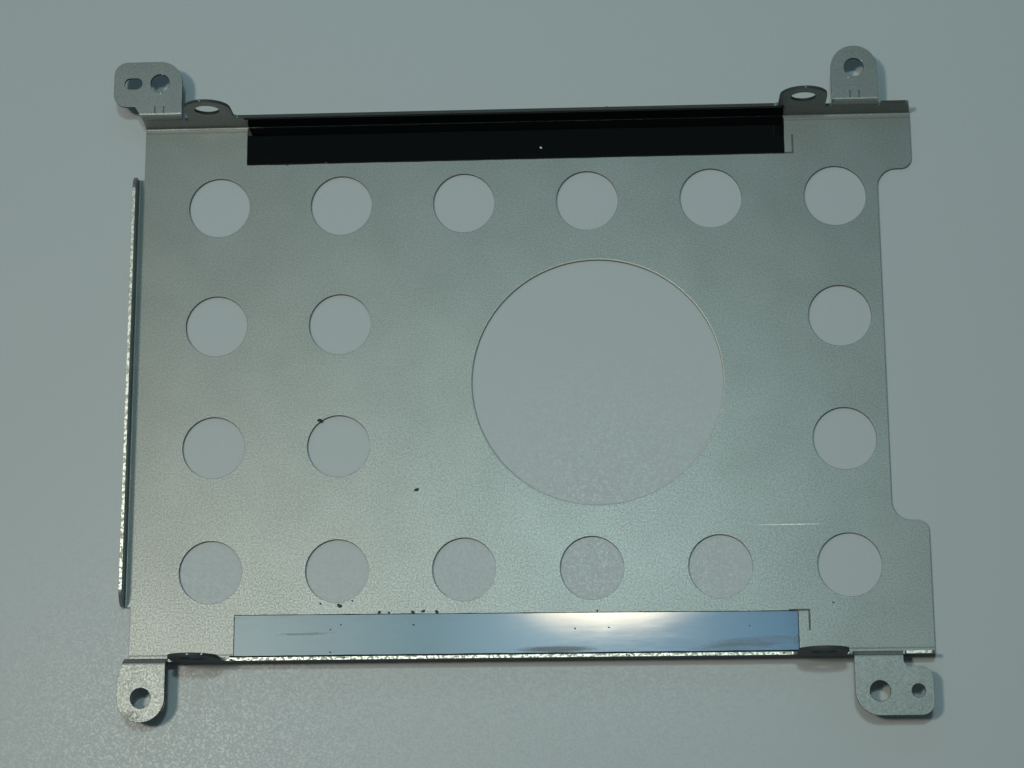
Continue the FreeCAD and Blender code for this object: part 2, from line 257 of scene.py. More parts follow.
def overlap(tree, *masks):
    """Mask of what all the masks hold: their product."""
    held, *others = masks
    for mask in others:
        held = add_node(tree, "ShaderNodeMath", {"operation": "MULTIPLY"}, {
            0: held, 1: mask}).outputs["Value"]
    return held


def union(tree, *masks):
    """Mask of what any of the masks holds: the largest of them."""
    held, *others = masks
    for mask in others:
        held = add_node(tree, "ShaderNodeMath", {"operation": "MAXIMUM"}, {
            0: held, 1: mask}).outputs["Value"]
    return held


def places_in_millimetres(tree, place):
    """Place along Y, distance aside from the middle line, and height, in millimetres."""
    scaled = add_node(tree, "ShaderNodeVectorMath", {"operation": "SCALE"}, {0: place, "Scale": 1 / MM})
    axes = add_node(tree, "ShaderNodeSeparateXYZ", inputs={"Vector": scaled.outputs["Vector"]}).outputs
    aside = add_node(tree, "ShaderNodeMath", {"operation": "ABSOLUTE"}, {0: axes["Y"]}).outputs["Value"]
    return axes["Y"], aside, axes["Z"]


def bare_facing(tree):
    """Components of the direction that the bare mesh faces."""
    facing = add_node(tree, "ShaderNodeNewGeometry").outputs["True Normal"]
    return add_node(tree, "ShaderNodeSeparateXYZ", inputs={"Vector": facing}).outputs


def stamped_lines(tree, aside, height, facing):
    """Mask of the painted shade on the floors of the stamped and scored lines, and on the faint creases
    beside the walls.
    """
    floors = union(tree, between(tree, height, STAMP_FLOORS), between(tree, height, SCORE_FLOORS))
    creases = overlap(tree, between(tree, aside, CREASES_ASIDE), between(tree, height, BASE_HEIGHTS))
    both = union(tree, overlap(tree, floors, LINE_SHADE), overlap(tree, creases, CREASE_SHADE))
    return overlap(tree, both, between(tree, facing["Z"], LEVEL))


def wall_tops(tree, height, facing):
    """Mask of the tops of the walls and the flange."""
    return overlap(tree, between(tree, height, WALL_TOP_HEIGHTS), between(tree, facing["Z"], FLAT))


def rolled_rim_highlight(tree, height, facing):
    """Mask of the rounded upper rim of the large hole, the only slope at the level of the base, which gets a
    painted highlight.
    """
    return overlap(tree, between(tree, facing["Z"], SLOPING), between(tree, height, RIM_HIGHLIGHT_HEIGHTS))


def shaded_sides(tree, along_y, aside, height, facing):
    """Mask of the sheared faces painted in shade: the ears' rims, the walls of the holes in the base, the
    tabs' edges, and the outer face of the near wall."""
    ear_rims = overlap(tree, between(tree, facing["Y"], ENDWISE), between(tree, height, EAR_HEIGHTS))
    bores = overlap(tree, between(tree, height, BORE_HEIGHTS), BORE_SHADE)
    tab_edges = overlap(tree, between(tree, height, TAB_EDGE_HEIGHTS), between(tree, aside, TABS_ASIDE))
    upright = union(tree, bores, tab_edges, between(tree, along_y, NEAR_OUTER_FACE))
    return union(tree, ear_rims, overlap(tree, upright, between(tree, facing["Z"], STEEP)))


def zinc_coated_steel(look):
    """Cold-rolled sheet, zinc plated and passivated, sheared and folded."""
    # The eye sees a satin grey sheen broken into fine bright grains, dark sheared faces and bright lines on
    # the wall tops; the dark faces are painted shade and the bright lines painted highlight. The dull coat
    # scatters half the light.
    material, tree, shader = new_material("zinc_coated_steel_rolled_and_sheared")
    place = add_node(tree, "ShaderNodeTexCoord").outputs["Object"]
    along_y, aside, height = places_in_millimetres(tree, place)
    facing = bare_facing(tree)

    # The real grains are near 0.05 mm and would not show, so they are drawn about one picture point wide.
    grain = add_node(tree, "ShaderNodeTexNoise", inputs={
        "Vector": place, "Scale": 1 / look.grain, "Detail": 1.5, "Roughness": 0.6}).outputs["Fac"]
    cloud = add_node(tree, "ShaderNodeTexNoise", inputs={
        "Vector": place, "Scale": 1 / look.cloud, "Detail": 3.0, "Roughness": 0.55}).outputs["Fac"]
    mottle = add_node(tree, "ShaderNodeTexNoise", inputs={
        "Vector": place, "Scale": 1 / (MOTTLE_WIDTH * MM), "Detail": 2.0, "Roughness": 0.6}).outputs["Fac"]

    # Painted highlight on the wall tops and on the rolled rim, and the scratch
    tops = wall_tops(tree, height, facing)
    missed = add_node(tree, "ShaderNodeMapRange", inputs={
        "Value": mottle, "From Min": 0.33, "From Max": 0.5, "To Min": 0.72}).outputs["Result"]
    painted_top_highlight = overlap(tree, tops, between(tree, along_y, HIGHLIT_Y), missed)
    scratch = overlap(tree, patch(tree, place, SCRATCH_MIDDLE, SCRATCH_HALF), grain)
    bare_and_highlit = union(tree, painted_top_highlight, scratch)
    # The rolled rim of the large hole gets a painted highlight in the pale colour.
    rim = rolled_rim_highlight(tree, height, facing)

    # Faces painted in shade: the wall tops away from the highlight, the sheared sides and the line floors;
    # and the worn tip of a tab
    blotch = add_node(tree, "ShaderNodeMapRange", inputs={
        "Value": mottle, "From Min": 0.4, "From Max": 0.65, "To Max": 0.4}).outputs["Result"]
    worn = overlap(tree, patch(tree, place, WORN_MIDDLE, WORN_HALF, WORN_TURN), blotch)
    sides = shaded_sides(tree, along_y, aside, height, facing)
    shade_and_wear = union(tree, worn, tops, sides, stamped_lines(tree, aside, height, facing))
    uncovered = add_node(tree, "ShaderNodeMath", {"operation": "GREATER_THAN"}, {0: shade_and_wear, 1: bare_and_highlit})
    rough_shade_and_wear = overlap(tree, uncovered.outputs["Value"], shade_and_wear)

    speckle = add_node(tree, "ShaderNodeMapRange", inputs={
        "Value": grain, "From Min": 0.3, "From Max": 0.7, "To Min": -0.5, "To Max": 0.5}).outputs["Result"]
    shade = add_node(tree, "ShaderNodeMath", {"operation": "ADD", "use_clamp": True}, {
        0: cloud, 1: speckle}).outputs["Value"]
    mix = {"data_type": "RGBA"}
    coat = add_node(tree, "ShaderNodeMix", mix, {"Factor": shade, 6: look.worn, 7: look.colour}).outputs[2]
    # The dark colour here is painted shade, and wear on the worn tip of a tab.
    coat_shaded_and_worn = add_node(tree, "ShaderNodeMix", mix, {"Factor": shade_and_wear, 6: coat, 7: look.mark}).outputs[2]
    # The pale colour here is painted highlight on the wall tops and the rolled rim, and bare steel in the
    # scratch.
    colour = add_node(tree, "ShaderNodeMix", mix, {
        "Factor": union(tree, bare_and_highlit, rim), 6: coat_shaded_and_worn, 7: look.edge}).outputs[2]
    dulled = add_node(tree, "ShaderNodeMapRange", inputs={
        "Value": union(tree, shade_and_wear, rim), "To Min": look.metallic, "To Max": 0.2}).outputs["Result"]
    satin = add_node(tree, "ShaderNodeMapRange", inputs={
        "Value": grain, "From Min": 0.3, "From Max": 0.7,
        "To Min": look.roughness + GRAIN_SWING, "To Max": look.roughness - GRAIN_SWING}).outputs["Result"]
    roughness = add_node(tree, "ShaderNodeMath", {"operation": "MULTIPLY_ADD"}, {
        0: rough_shade_and_wear, 1: 0.25, 2: satin}).outputs["Value"]
    lacquer = add_node(tree, "ShaderNodeMapRange", inputs={
        "Value": shade_and_wear, "To Min": look.lacquer, "To Max": 0.0}).outputs["Result"]

    rounded = add_node(tree, "ShaderNodeBevel", {"samples": 6}, {"Radius": look.edge_round}).outputs["Normal"]
    relief = add_node(tree, "ShaderNodeBump", inputs={
        "Strength": 0.3, "Distance": RELIEF_DEPTH * MM, "Height": grain, "Normal": rounded}).outputs["Normal"]
    tree.links.new(colour, shader.inputs["Base Color"])
    tree.links.new(union(tree, dulled, bare_and_highlit), shader.inputs["Metallic"])
    tree.links.new(roughness, shader.inputs["Roughness"])
    tree.links.new(relief, shader.inputs["Normal"])
    tree.links.new(lacquer, shader.inputs["Coat Weight"])
    tree.links.new(relief, shader.inputs["Coat Normal"])
    shader.inputs["Coat Roughness"].default_value = 0.25
    return material


def nick_steel_with_painted_glints(look):
    """Mild steel torn by the punch and never plated again, its pale colour a painted glint."""
    # The eye sees small hard glints with a fine tear across them; the glints are painted in the pale colours.
    material, tree, shader = new_material("torn_steel_painted_glints")
    place = add_node(tree, "ShaderNodeTexCoord").outputs["Object"]
    tear = add_node(tree, "ShaderNodeTexNoise", inputs={
        "Vector": place, "Scale": 1 / (TEAR_WIDTH * MM), "Detail": 2.0}).outputs["Fac"]
    colour = add_node(tree, "ShaderNodeMix", {"data_type": "RGBA"}, {
        "Factor": tear, 6: look.edge, 7: look.nick_glint}).outputs[2]
    relief = add_node(tree, "ShaderNodeBump", inputs={
        "Strength": 0.4, "Distance": RELIEF_DEPTH * MM, "Height": tear}).outputs["Normal"]
    tree.links.new(colour, shader.inputs["Base Color"])
    tree.links.new(relief, shader.inputs["Normal"])
    shader.inputs["Metallic"].default_value = 0.5
    shader.inputs["Roughness"].default_value = 0.4
    return material


def black_polyester_film(look):
    """Black polyester film, die-cut, folded and stuck down by hand."""
    # The eye sees a deep black mirror with gentle ripples, and wiped grey streaks where greasy dust stayed.
    material, tree, shader = new_material("black_polyester_film_glossy")
    place = add_node(tree, "ShaderNodeTexCoord").outputs["Object"]
    along = add_node(tree, "ShaderNodeMapping", inputs={
        "Vector": place, "Scale": (0.12, 1.0, 1.0)}).outputs["Vector"]
    wiped = add_node(tree, "ShaderNodeTexNoise", inputs={
        "Vector": along, "Scale": 1 / (WIPE_WIDTH * MM), "Detail": 4.0, "Roughness": 0.65}).outputs["Fac"]
    across = add_node(tree, "ShaderNodeMapping", inputs={
        "Vector": place, "Scale": (1.0, 0.5, 0.5)}).outputs["Vector"]
    ripple = add_node(tree, "ShaderNodeTexNoise", inputs={
        "Vector": across, "Scale": 1 / look.ripple, "Detail": 1.0}).outputs["Fac"]
    smudges = []
    for middle, half, turn, share in SMUDGES:
        spot = patch(tree, place, (*middle, FILM_TOP / MM), (*half, SMUDGE_DEPTH), turn, SMUDGE_RIM)
        smudges.append(overlap(tree, spot, share))
    left = add_node(tree, "ShaderNodeMath", {"operation": "ADD"}, {
        0: union(tree, *smudges), 1: wiped}).outputs["Value"]
    greasy = add_node(tree, "ShaderNodeMapRange", {"interpolation_type": "SMOOTHSTEP"}, {
        "Value": left, "From Min": 0.65, "From Max": 1.5}).outputs["Result"]

    colour = add_node(tree, "ShaderNodeMix", {"data_type": "RGBA"}, {
        "Factor": greasy, 6: look.colour, 7: look.smudge}).outputs[2]
    gloss = add_node(tree, "ShaderNodeMapRange", inputs={
        "Value": wiped, "From Min": 0.35, "From Max": 0.75,
        "To Min": look.roughness, "To Max": look.roughness + WIPED_ROUGHER}).outputs["Result"]
    mirrored = add_node(tree, "ShaderNodeMapRange", inputs={
        "Value": greasy, "To Min": 0.5, "To Max": 0.08}).outputs["Result"]
    relief = add_node(tree, "ShaderNodeBump", inputs={
        "Strength": 0.15, "Distance": RIPPLE_DEPTH * MM, "Height": ripple}).outputs["Normal"]
    tree.links.new(colour, shader.inputs["Base Color"])
    tree.links.new(gloss, shader.inputs["Roughness"])
    tree.links.new(mirrored, shader.inputs["Specular IOR Level"])
    tree.links.new(relief, shader.inputs["Normal"])
    shader.inputs["IOR"].default_value = 1.6
    return material


def caked_dirt(name, colour, roughness):
    """Dust and grease pressed into a lump, or adhesive that has picked up dust, which also paints the shade
    in the films' folds.
    """
    # The eye sees a dull dark lump with paler dust in its hollows.
    material, tree, shader = new_material(name)
    place = add_node(tree, "ShaderNodeTexCoord").outputs["Object"]
    dust = add_node(tree, "ShaderNodeTexNoise", inputs={
        "Vector": place, "Scale": 1 / (DUST_WIDTH * MM), "Detail": 3.0, "Roughness": 0.7}).outputs["Fac"]
    paler = [min(1.0, channel * DUST_GAIN + DUST_LIFT) for channel in colour[:3]] + [1.0]
    mixed = add_node(tree, "ShaderNodeMix", {"data_type": "RGBA"}, {
        "Factor": dust, 6: colour, 7: paler}).outputs[2]
    relief = add_node(tree, "ShaderNodeBump", inputs={
        "Strength": 0.6, "Distance": RELIEF_DEPTH * MM, "Height": dust}).outputs["Normal"]
    tree.links.new(mixed, shader.inputs["Base Color"])
    tree.links.new(relief, shader.inputs["Normal"])
    shader.inputs["Roughness"].default_value = roughness
    shader.inputs["Specular IOR Level"].default_value = 0.2
    return material


def white_card(look):
    """White card, calendered but not coated."""
    # The eye sees an even pale ground with a faint tooth and a slight sheen towards the lamps.
    material, tree, shader = new_material("white_card_calendered")
    place = add_node(tree, "ShaderNodeTexCoord").outputs["Object"]

    # The real tooth is near 0.05 mm and would not show, so it is drawn about two picture points wide.
    tooth = add_node(tree, "ShaderNodeTexNoise", inputs={
        "Vector": place, "Scale": 1 / (TOOTH_WIDTH * MM), "Detail": 2.0}).outputs["Fac"]
    relief = add_node(tree, "ShaderNodeBump", inputs={
        "Strength": 0.12, "Distance": RELIEF_DEPTH * MM, "Height": tooth}).outputs["Normal"]
    sheen = add_node(tree, "ShaderNodeMapRange", inputs={
        "Value": tooth, "From Min": 0.35, "From Max": 0.65, "To Min": 0.5, "To Max": 0.26}).outputs["Result"]
    tree.links.new(relief, shader.inputs["Normal"])
    tree.links.new(sheen, shader.inputs["Coat Roughness"])
    shader.inputs["Base Color"].default_value = look.floor
    shader.inputs["Roughness"].default_value = 0.49
    shader.inputs["Specular IOR Level"].default_value = 0.25
    shader.inputs["Coat Weight"].default_value = 0.4

    # Far from the part the camera and the metal see the backdrop's colour, so the card stays pale there.
    reach = add_node(tree, "ShaderNodeVectorMath", {"operation": "LENGTH"}, {0: place}).outputs["Value"]
    away = add_node(tree, "ShaderNodeMapRange", {"interpolation_type": "SMOOTHSTEP"}, {
        "Value": reach, "From Min": CARD_LIT, "From Max": CARD_FADED}).outputs["Result"]
    rays = add_node(tree, "ShaderNodeLightPath").outputs
    seen = union(tree, rays["Is Camera Ray"], rays["Is Glossy Ray"])
    backdrop = add_node(tree, "ShaderNodeEmission", inputs={"Color": look.backdrop})
    card = add_node(tree, "ShaderNodeMixShader", inputs={
        0: overlap(tree, away, seen), 1: shader.outputs["BSDF"], 2: backdrop.outputs["Emission"]})
    tree.links.new(card.outputs["Shader"], tree.get_output_node("ALL").inputs["Surface"])
    return material


def add_piece(name, points, blocks, material):
    """Smooth mesh object at the origin from points and blocks of like faces, riding on the part's body."""
    mesh = bpy.data.meshes.new(name)
    faces = [face for block in blocks for face in block.tolist()]
    mesh.from_pydata(points.reshape(-1, 3).tolist(), [], faces)
    mesh.polygons.foreach_set("use_smooth", np.ones(len(mesh.polygons), dtype=bool))
    mesh.materials.append(material)
    mesh.update()
    piece = bpy.data.objects.new(name, mesh)
    bpy.context.scene.collection.objects.link(piece)
    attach(piece, BODY)
    return piece


# Heights of the two waves and of the three waves round a lump, as shares of its size
TWO_WAVES, THREE_WAVES = 0.22, 0.14


def lumps(middles, sizes, draws, rings=6, spokes=9):
    """Lumpy flattened balls on a surface: for angles from pole to pole and all round, the radius is
    one plus two small waves of random phase, times the lump's half sizes, about its middle."""
    count = len(middles)
    polar = np.linspace(0, math.pi, rings + 1)[1:-1, None]
    around = np.linspace(0, 2 * math.pi, spokes, endpoint=False)[None, :]
    phase = draws.uniform(0, 2 * math.pi, (count, 2, 1, 1))
    swell = (1 + TWO_WAVES * np.sin(2 * around + phase[:, 0]) * np.sin(polar)
             + THREE_WAVES * np.sin(3 * around + phase[:, 1]))
    ball = np.stack(np.broadcast_arrays(np.sin(polar) * np.cos(around), np.sin(polar) * np.sin(around),
                                        np.cos(polar) + 0 * around), axis=-1)
    skin = (swell[..., None] * ball).reshape(count, -1, 3)
    poles = np.broadcast_to(np.array([[0, 0, 1.0], [0, 0, -1.0]]), (count, 2, 3))
    points = np.concatenate([skin, poles], axis=1) * sizes[:, None, :] + middles[:, None, :]

    ring = np.arange(spokes)
    after = (ring + 1) % spokes
    rows = np.arange(rings - 2)[:, None] * spokes
    below = rows + spokes
    sides = np.stack([rows + ring, below + ring, below + after, rows + after], axis=-1).reshape(-1, 4)
    last = (rings - 2) * spokes
    top, bottom = (rings - 1) * spokes, (rings - 1) * spokes + 1
    caps = np.concatenate([np.stack([np.full(spokes, top), ring, after], axis=-1),
                           np.stack([np.full(spokes, bottom), last + after, last + ring], axis=-1)])
    step = np.arange(count)[:, None, None] * (top + 2)
    return points, [(sides[None] + step).reshape(-1, 4), (caps[None] + step).reshape(-1, 3)]


def flat_tube(path, half_width, half_height, closed, spokes=8):
    """Flattened tube: an ellipse, half_width across the path in plan and half_height upwards, carried along
    the path. Both half sizes may change from station to station. An open tube is capped at its ends."""
    ahead = np.roll(path, -1, axis=0) - np.roll(path, 1, axis=0) if closed else np.gradient(path, axis=0)
    across = np.column_stack([-ahead[:, 1], ahead[:, 0], 0 * ahead[:, 0]])
    across /= np.linalg.norm(across, axis=1, keepdims=True)
    angle = np.linspace(0, 2 * math.pi, spokes, endpoint=False)
    wide = (half_width[:, None] * np.cos(angle))[..., None] * across[:, None]
    high = (half_height[:, None] * np.sin(angle))[..., None] * np.array([0, 0, 1.0])
    points = path[:, None] + wide + high

    stations = np.arange(len(path) if closed else len(path) - 1)[:, None]
    after = (stations + 1) % len(path)
    spoke = np.arange(spokes)
    turn = (spoke + 1) % spokes
    blocks = [np.stack([stations * spokes + spoke, stations * spokes + turn,
                        after * spokes + turn, after * spokes + spoke], axis=-1).reshape(-1, 4)]
    if not closed:
        blocks.append(np.stack([spoke[::-1], spoke + (len(path) - 1) * spokes]))
    return points, blocks


def joined(parts):
    """One set of points and blocks of faces from several."""
    starts = np.cumsum([0] + [points.reshape(-1, 3).shape[0] for points, _ in parts])
    points = np.concatenate([points.reshape(-1, 3) for points, _ in parts])
    return points, [block + start for (_, blocks), start in zip(parts, starts) for block in blocks]


# Corners of a square, each one unit from its middle lines
SQUARE = np.array([[-1, -1], [1, -1], [1, 1], [-1, 1]])

# Specks of dirt that lie on the base and the films: place in plan and half width, in millimetres
DARK_SPECKS = (
    (-12.2, -13.8, 0.24), (-21.8, -28.4, 0.27), (-24.2, -28.1, 0.14), (-20.2, -27.8, 0.12),
    (-16.8, -29.3, 0.2), (-15.6, -29.3, 0.14), (-12.6, -29.3, 0.2), (-11.3, -29.2, 0.2), (-9.6, -29.3, 0.22),
    (10.4, -29.4, 0.13), (39.6, -28.7, 0.1), (-29.4, 29.7, 0.13), (-24.3, 29.9, 0.17),
)
FILM_SPECKS = (
    (-21.6, -30.8, 0.09), (-22.9, -31.4, 0.09), (-12.5, -30.9, 0.11), (-22.9, -34.2, 0.1),
    (7.6, -31.6, 0.11), (11.8, -31.5, 0.1), (29.2, -31.5, 0.08),
)
RIM_SPECK = (-24.6, -4.65, 0.25)

# Nicks and torn burrs, painted bright as glints: place and half width in millimetres
NICK_GLINTS = (
    (-45.5, 41.25, 4.3, 0.1), (-45.6, 38.6, 4.3, 0.13), (45.5, 40.85, 4.3, 0.12), (43.75, 38.6, 4.3, 0.12),
    (46.9, -39.2, 4.3, 0.09), (49.2, -42.15, 4.3, 0.1), (45.15, -41.4, 4.3, 0.1), (45.5, -41.2, 4.3, 0.1),
    (-46.4, -42.75, 4.3, 0.12), (-42.15, -35.35, 3.6, 0.2), (-35.7, -35.3, 3.95, 0.14),
    (41.1, -35.3, 3.9, 0.14), (-39.0, -35.3, 9.95, 0.13), (-37.25, -35.3, 9.9, 0.13),
    (-39.4, 35.3, 9.95, 0.08), (37.7, 35.3, 10.0, 0.08), (3.9, 31.3, 0.5, 0.16),
)

# A lump's half sizes as shares of its half width, and how far its middle stands clear of the ground
LUMP_SHAPE, LUMP_LIFT = (1.2, 1.0, 0.55), 0.3

# Crumbs, in millimetres: the least half width, how much more it may be, and the spread across each edge
CRUMB_LEAST, CRUMB_MORE = 0.03, 0.1
FILM_SPREAD, WALL_SPREAD = 0.06, 0.08

# Least and most that a crumb is stretched along each axis
CRUMB_STRETCH = (0.6, 1.5)

# Adhesive, in millimetres: the step along a bead, how far from a film's back its rim starts, and how close a
# point of the film lies to one of its ends
BEAD_STEP, RIM_START, AT_END = 0.5, 0.4, 0.01

# Waves in a bead's width, in radians to the millimetre, their swing, and the bead's height to its width
BEAD_WAVES, BEAD_SWING, BEAD_FLATNESS = (0.35, 0.8, 1.7), 0.25, 0.8

# Burrs: stations round a hole, waves to a turn, and the height's middle and swing as shares of the half width
BURR_STATIONS, BURR_WAVES = 48, (1, 2, 5)
BURR_HEIGHT, BURR_SWING = 0.7, 0.5


def settled(plan, half):
    """Middles and half sizes of lumps on a level ground, from the points under them and their half widths."""
    sizes = half * np.array(LUMP_SHAPE)
    return plan + LUMP_LIFT * sizes * np.array([0, 0, 1.0]), sizes


def specks_on(ground, specks):
    """Specks at listed places on a level ground."""
    marks = np.array(specks) * MM
    plan = np.column_stack([marks[:, :2], np.full(len(marks), ground)])
    return settled(plan, marks[:, 2:3])


def film_back(name):
    """Place along Y of the back of a film's upright leg, which lies on the wall."""
    low, high = FILMS[name]
    return math.copysign(max(abs(low.y), abs(high.y)), low.y)


def film_rim(name):
    """Corners of the rim of a film's flat leg: up from the wall at its rear end, along its inner edge,
    and back to the wall at its front end."""
    low, high = FILMS[name]
    side = math.copysign(1, low.y)
    mesh = frame["nodes"][name].data
    points = np.empty(len(mesh.vertices) * 3)
    mesh.vertices.foreach_get("co", points)
    points = points.reshape(-1, 3)
    wall = film_back(name) - side * RIM_START * MM
    at_ends = [np.isclose(points[:, 0], end, rtol=0, atol=AT_END * MM) for end in (low.x, high.x)]
    rear, front = (side * np.abs(points[at_end, 1]).min() for at_end in at_ends)
    return np.array([[low.x, wall, BASE_TOP], [low.x, rear, BASE_TOP],
                     [high.x, front, BASE_TOP], [high.x, wall, BASE_TOP]])


def film_crest(name):
    """Ends of the top edge of a film's upright leg."""
    low, high = FILMS[name]
    inner = film_back(name) - math.copysign(FILM_THICK, low.y)
    return np.array([[low.x, inner, high.z], [high.x, inner, high.z]])


def stations_along(corners, step):
    """Points about a step apart along straight runs between corners, the corners among them."""
    runs = np.linalg.norm(np.diff(corners, axis=0), axis=1)
    counts = np.maximum(np.ceil(runs / step).astype(int), 1)
    shares = np.concatenate([i + np.arange(n) / n for i, n in enumerate(counts)] + [[len(runs)]])
    order = np.arange(len(corners))
    return np.column_stack([np.interp(shares, order, corners[:, axis]) for axis in range(3)])


def adhesive_bead(corners, half_width, draws):
    """Bead along one run of a film's edges, adhesive on the rim and painted shade on the top edge: a
    flattened tube whose half width wanders by a few slow waves.
    """
    path = stations_along(corners, BEAD_STEP * MM)
    along = np.arange(len(path)) * BEAD_STEP
    waves = sum(np.sin(along * pitch + draws.uniform(0, 2 * math.pi)) for pitch in BEAD_WAVES)
    half = half_width * (1 + BEAD_SWING * waves / len(BEAD_WAVES))
    return flat_tube(path, half, half * BEAD_FLATNESS, closed=False)


def crumbs_along(ends, count, spread, draws):
    """Crumbs at random places along a straight edge, most of them small."""
    plan = ends[0] + draws.uniform(0, 1, (count, 1)) * (ends[1] - ends[0])
    plan[:, 1] += draws.normal(0, spread, count)
    half = (CRUMB_LEAST + CRUMB_MORE * draws.uniform(0, 1, (count, 1)) ** 3) * MM
    middles, sizes = settled(plan, half)
    return middles, sizes * draws.uniform(*CRUMB_STRETCH, (count, 3))


def burr_ring(middle, radius, half_width, draws):
    """Burr round a punched hole: a flattened ring whose height rises and falls by three waves round it."""
    angle = np.linspace(0, 2 * math.pi, BURR_STATIONS, endpoint=False)
    path = middle + radius * np.column_stack([np.cos(angle), np.sin(angle), 0 * angle])
    waves = sum(np.sin(angle * count + draws.uniform(0, 2 * math.pi)) for count in BURR_WAVES)
    half = np.full(len(angle), half_width)
    return flat_tube(path, half, half * (BURR_HEIGHT + BURR_SWING * waves / len(BURR_WAVES)), closed=True)


def screw_hole_middles():
    """Middles of the four chassis screw holes, on the tabs' top."""
    middle, dims = np.array(SCREW_HOLES["pos_m"]), SCREW_HOLES["dims"]
    half = np.array([dims["spacing_x_mm"], dims["spacing_y_mm"]]) * MM / 2
    return np.column_stack([middle[:2] + SQUARE * half, np.full(4, TAB_TOP)])


class CADDY_OT_finish_tray(bpy.types.Operator):
    """Give the folded tray its zinc-coated steel"""

    bl_idname = "caddy.finish_tray"
    bl_label = "Finish the tray"

    def execute(self, context):
        tray = frame["nodes"]["caddy_tray"]
        tray.material_slots[0].material = zinc_coated_steel(context.scene.caddy_steel)
        return {"FINISHED"}


class CADDY_OT_finish_films(bpy.types.Operator):
    """Give both insulating strips their black film"""

    bl_idname = "caddy.finish_films"
    bl_label = "Finish the films"

    def execute(self, context):
        film = black_polyester_film(context.scene.caddy_film)
        for name in FILMS:
            frame["nodes"][name].material_slots[0].material = film
        return {"FINISHED"}


class CADDY_OT_raise_burrs(bpy.types.Operator):
    """Raise the punch burrs round the tab holes and the nicks on the edges, painted bright as glints"""

    bl_idname = "caddy.raise_burrs"
    bl_label = "Raise the burrs"

    def execute(self, context):
        look = context.scene.caddy_steel
        draws = np.random.default_rng(context.scene.caddy_dirt.seed)
        holes = [(middle, SCREW_HOLES["dims"]["hole_r_mm"] * MM) for middle in screw_hole_middles()]
        pin = MOUNTS["locating_hole"]
        holes.append((np.array([*pin["pos_m"][:2], TAB_TOP]), pin["dims"]["r_mm"] * MM))
        rings = [burr_ring(middle, radius + look.burr, look.burr, draws) for middle, radius in holes]
        zinc = frame["nodes"]["caddy_tray"].material_slots[0].material
        add_piece("hole_burrs", *joined(rings), zinc)
        marks = np.array(NICK_GLINTS) * MM
        middles, sizes = settled(marks[:, :3], marks[:, 3:4])
        # The nicks' bright colour is a painted glint.
        add_piece("nicks_painted_glints", *lumps(middles, sizes, draws), nick_steel_with_painted_glints(look))
        return {"FINISHED"}


class CADDY_OT_run_adhesive(bpy.types.Operator):
    """Run the beads of dirty adhesive along the rims of both films, and a dark bead of painted shade along
    each film's top edge
    """

    bl_idname = "caddy.run_adhesive"
    bl_label = "Run the adhesive"

    def execute(self, context):
        look = context.scene.caddy_dirt
        draws = np.random.default_rng(look.seed)
        dirty = caked_dirt("adhesive_with_dust_and_painted_fold_shade", look.adhesive, 0.6)
        for name in FILMS:
            # The bead along each film's rim is adhesive; the bead along its top edge is painted shade for the
            # dark fold.
            beads = [adhesive_bead(run, look.bead / 2, draws) for run in (film_rim(name), film_crest(name))]
            add_piece(name + "_adhesive", *joined(beads), dirty)
        return {"FINISHED"}


class CADDY_OT_scatter_dirt(bpy.types.Operator):
    """Lay the specks of dirt on the tray and films, and the crumbs along edges that hold them"""

    bl_idname = "caddy.scatter_dirt"
    bl_label = "Scatter the dirt"

    def execute(self, context):
        look = context.scene.caddy_dirt
        draws = np.random.default_rng(look.seed)
        speck = caked_dirt("caked_dust_and_grease", look.speck, 0.8)
        rust = caked_dirt("caked_rust", look.rust, 0.85)
        laid = [specks_on(BASE_TOP, DARK_SPECKS), specks_on(FILM_TOP, FILM_SPECKS)]
        for name, (low, high) in FILMS.items():
            laid.append(crumbs_along(film_rim(name)[1:3], look.crumbs, FILM_SPREAD * MM, draws))
            wall = film_back(name) + math.copysign(BASE_TOP / 2, low.y)
            top = np.array([[low.x, wall, WALL_TOP], [high.x, wall, WALL_TOP]])
            laid.append(crumbs_along(top, look.crumbs, WALL_SPREAD * MM, draws))
        middles, sizes = (np.concatenate(parts) for parts in zip(*laid))
        add_piece("dirt_specks", *lumps(middles, sizes, draws), speck)
        add_piece("rim_rust_speck", *lumps(*specks_on(BASE_TOP, (RIM_SPECK,)), draws), rust)
        return {"FINISHED"}


class CADDY_OT_set_stage(bpy.types.Operator):
    """Lay the floor, hang the lamps and set the camera"""

    bl_idname = "caddy.set_stage"
    bl_label = "Set the stage"

    def execute(self, context):
        look = context.scene.caddy_stage
        lay_floor(look)
        hang_lamps(look)
        set_camera(look)
        context.scene.view_settings.view_transform = "Standard"
        return {"FINISHED"}


# Floor: half its width in metres, and the gap below the base
FLOOR_HALF = 2.0
FLOOR_GAP = 0.12 * MM


def lay_floor(look):
    """Level square just below the base, which is not quite flat and touches only at its high points."""
    points = np.column_stack([SQUARE * FLOOR_HALF, np.full(4, CAD_BOX[0][2] - FLOOR_GAP)])
    mesh = bpy.data.meshes.new("card_floor")
    mesh.from_pydata(points.tolist(), [], [(0, 1, 2, 3)])
    mesh.materials.append(white_card(look))
    floor = bpy.data.objects.new("card_floor", mesh)
    bpy.context.scene.collection.objects.link(floor)


